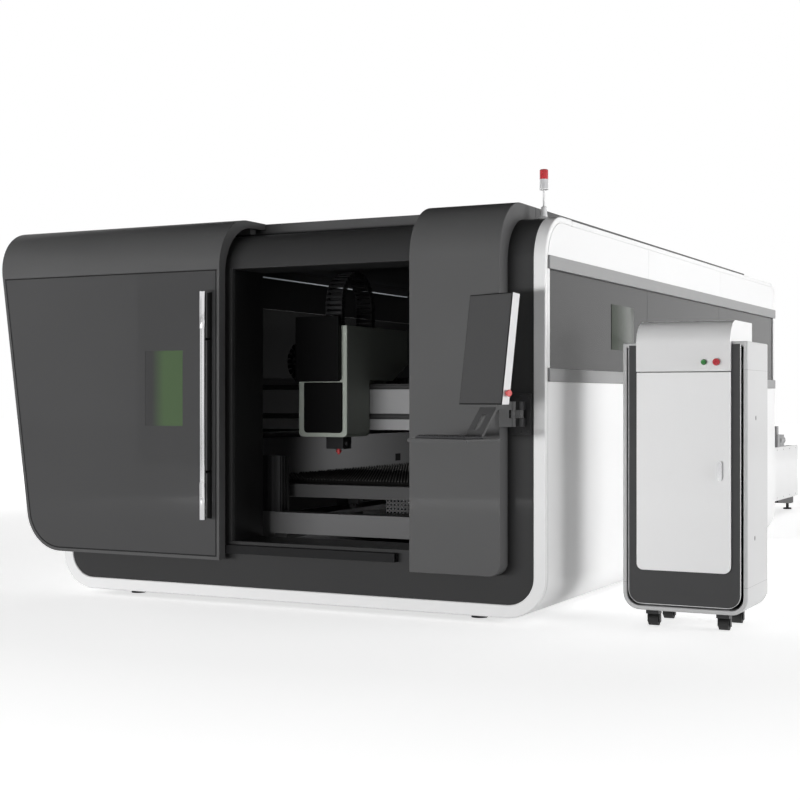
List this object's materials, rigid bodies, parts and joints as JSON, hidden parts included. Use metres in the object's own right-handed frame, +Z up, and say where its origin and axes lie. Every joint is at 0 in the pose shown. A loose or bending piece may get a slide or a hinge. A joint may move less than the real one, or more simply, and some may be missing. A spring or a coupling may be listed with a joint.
{
  "type": "fiber laser cutting machine",
  "caption": "Enclosed sheet-metal laser cutter with a sliding front door, gantry with cutting head, shuttle pallets at the rear, swing-out operator console and a separate laser source cabinet.",
  "frame": {"origin": "on the floor, under the middle of the whole part's bounding box with the door open", "axes": "+X to the right seen from the front, +Y to the back towards the shuttle table, +Z up"},
  "size_m": [4.651, 9.8766, 2.449],
  "materials": {
    "bed_paint": "satin grey paint",
    "guide_steel": "machined, bright",
    "slat_steel": "mill scale, cut edges",
    "black_metal": "black powder coat",
    "dark_paint": "dark grey glossy paint",
    "white_paint": "white glossy paint",
    "grey_paint": "mid grey satin paint",
    "tinted_panes": "dark tinted sheet",
    "led_diffuser": "diffuse cover of a light strip",
    "pale_plastic": "moulded, fine grain",
    "red_lens": "clear red moulding",
    "clear_lens": "clear moulding",
    "source_metal": "satin sheet",
    "caster_rubber": "moulded tread",
    "green_glass": "laser safety pane",
    "chrome": "polished",
    "chain_plastic": "moulded",
    "nozzle_red": "turned copper alloy",
    "screen_glass": "glossy cover sheet",
    "red_plastic": "glossy moulding",
    "green_plastic": "glossy moulding"
  },
  "bodies": {
    "machine": {"bed_frame": "bed_paint", "bed_guide_rails": "guide_steel", "levelling_feet": "black_metal", "front_fascia": "dark_paint", "front_rim": "white_paint", "opening_frame": "dark_paint", "right_front_cover": "dark_paint", "upper_side_panels": "white_paint", "window_trims": "grey_paint", "side_windows": "tinted_panes", "lower_side_panels": "white_paint", "roof_deck": "white_paint", "raised_roof": "dark_paint", "rear_wall": "white_paint", "light_strips": "led_diffuser", "beacon_stem": "pale_plastic", "beacon_lens_red": "red_lens", "beacon_lens_clear": "clear_lens", "console_hinge_plate": "black_metal", "pallet_rails": "guide_steel", "exchange_frame": "bed_paint", "exchange_panels": "white_paint", "exchange_drive": "grey_paint", "cabinet_shell": "white_paint", "cabinet_front_frame": "dark_paint", "cabinet_hood": "white_paint", "laser_source": "source_metal"},
    "door": {"door_shell": "dark_paint", "door_panel": "dark_paint", "door_window": "green_glass", "door_handle": "chrome"},
    "gantry": {"gantry_beam": "grey_paint", "gantry_trucks": "grey_paint", "x_cable_chain": "chain_plastic"},
    "carriage": {"carriage_housing": "grey_paint", "carriage_covers": "chain_plastic", "z_cable_chain": "chain_plastic"},
    "head": {"cutting_head": "black_metal", "nozzle": "nozzle_red"},
    "link": {"console_link": "guide_steel"},
    "console": {"console_arm": "black_metal", "monitor_housing": "pale_plastic", "screen": "screen_glass"},
    "estop": {"estop_button": "red_plastic"},
    "cab_door": {"cabinet_door": "white_paint"},
    "cab_latch": {"cabinet_latch": "pale_plastic"},
    "start_button": {"green_button": "green_plastic"},
    "stop_button": {"red_button": "red_plastic"},
    "upper_table": {"upper_pallet": "guide_steel", "upper_slats": "slat_steel"},
    "lower_table": {"lower_pallet": "guide_steel", "lower_slats": "slat_steel"},
    "swivel_fl": {"caster_fork_fl": "black_metal"},
    "wheel_fl": {"caster_wheel_fl": "caster_rubber"},
    "swivel_fr": {"caster_fork_fr": "black_metal"},
    "wheel_fr": {"caster_wheel_fr": "caster_rubber"},
    "swivel_rl": {"caster_fork_rl": "black_metal"},
    "wheel_rl": {"caster_wheel_rl": "caster_rubber"},
    "swivel_rr": {"caster_fork_rr": "black_metal"},
    "wheel_rr": {"caster_wheel_rr": "caster_rubber"}
  },
  "joints": [
    {"name": "door_slide", "type": "slide", "parent": "machine", "child": "door", "axis": [1, 0, 0], "range_m": [0, 1.222]},
    {"name": "gantry_slide", "type": "slide", "parent": "machine", "child": "gantry", "axis": [0, 1, 0], "range_m": [-0.2, 2.8]},
    {"name": "carriage_slide", "type": "slide", "parent": "gantry", "child": "carriage", "axis": [1, 0, 0], "range_m": [-0.6, 0.9], "deforming": ["x_cable_chain"]},
    {"name": "head_slide", "type": "slide", "parent": "carriage", "child": "head", "axis": [0, 0, 1], "range_m": [-0.12, 0]},
    {"name": "console_link_swing", "type": "hinge", "parent": "machine", "child": "link", "pos_m": [1.1895, -4.3687, 1.115], "axis": [0, 0, 1], "range_deg": [0, 30]},
    {"name": "console_swing", "type": "hinge", "parent": "link", "child": "console", "pos_m": [1.1702, -4.43599, 1.115], "axis": [0, 0, 1], "range_deg": [0, 50]},
    {"name": "estop_press", "type": "slide", "parent": "console", "child": "estop", "axis": [-0.9304, 0.3665, 0], "range_m": [0, 0.005], "stiffness_N_per_m": 1500},
    {"name": "cabinet_door_hinge", "type": "hinge", "parent": "machine", "child": "cab_door", "pos_m": [1.75885, -4.12785, 0.818], "axis": [0, 0, -1], "range_deg": [0, 90]},
    {"name": "cabinet_latch_turn", "type": "hinge", "parent": "cab_door", "child": "cab_latch", "pos_m": [2.191, -4.1447, 0.865], "axis": [0, 1, 0], "range_deg": [0, 90]},
    {"name": "start_press", "type": "slide", "parent": "machine", "child": "start_button", "axis": [0, 1, 0], "range_m": [0, 0.004], "stiffness_N_per_m": 1200},
    {"name": "stop_press", "type": "slide", "parent": "machine", "child": "stop_button", "axis": [0, 1, 0], "range_m": [0, 0.004], "stiffness_N_per_m": 1200},
    {"name": "upper_shuttle", "type": "slide", "parent": "machine", "child": "upper_table", "axis": [0, 1, 0], "range_m": [0, 5.1]},
    {"name": "lower_shuttle", "type": "slide", "parent": "machine", "child": "lower_table", "axis": [0, 1, 0], "range_m": [-5.1, 0]},
    {"name": "swivel_fl", "type": "hinge", "parent": "machine", "child": "swivel_fl", "pos_m": [1.8085, -4.0287, 0.085], "axis": [0, 0, 1], "continuous": true},
    {"name": "roll_fl", "type": "hinge", "parent": "swivel_fl", "child": "wheel_fl", "pos_m": [1.8085, -4.0127, 0.03], "axis": [1, 0, 0], "continuous": true},
    {"name": "swivel_fr", "type": "hinge", "parent": "machine", "child": "swivel_fr", "pos_m": [2.1825, -4.0287, 0.085], "axis": [0, 0, 1], "continuous": true},
    {"name": "roll_fr", "type": "hinge", "parent": "swivel_fr", "child": "wheel_fr", "pos_m": [2.1825, -4.0127, 0.03], "axis": [1, 0, 0], "continuous": true},
    {"name": "swivel_rl", "type": "hinge", "parent": "machine", "child": "swivel_rl", "pos_m": [1.8085, -3.7537, 0.085], "axis": [0, 0, 1], "continuous": true},
    {"name": "roll_rl", "type": "hinge", "parent": "swivel_rl", "child": "wheel_rl", "pos_m": [1.8085, -3.7377, 0.03], "axis": [1, 0, 0], "continuous": true},
    {"name": "swivel_rr", "type": "hinge", "parent": "machine", "child": "swivel_rr", "pos_m": [2.1825, -3.7537, 0.085], "axis": [0, 0, 1], "continuous": true},
    {"name": "roll_rr", "type": "hinge", "parent": "swivel_rr", "child": "wheel_rr", "pos_m": [2.1825, -3.7377, 0.03], "axis": [1, 0, 0], "continuous": true}
  ],
  "couplings": [
    {"joint": "lower_shuttle", "follows": "upper_shuttle", "ratio": -1}
  ]
}
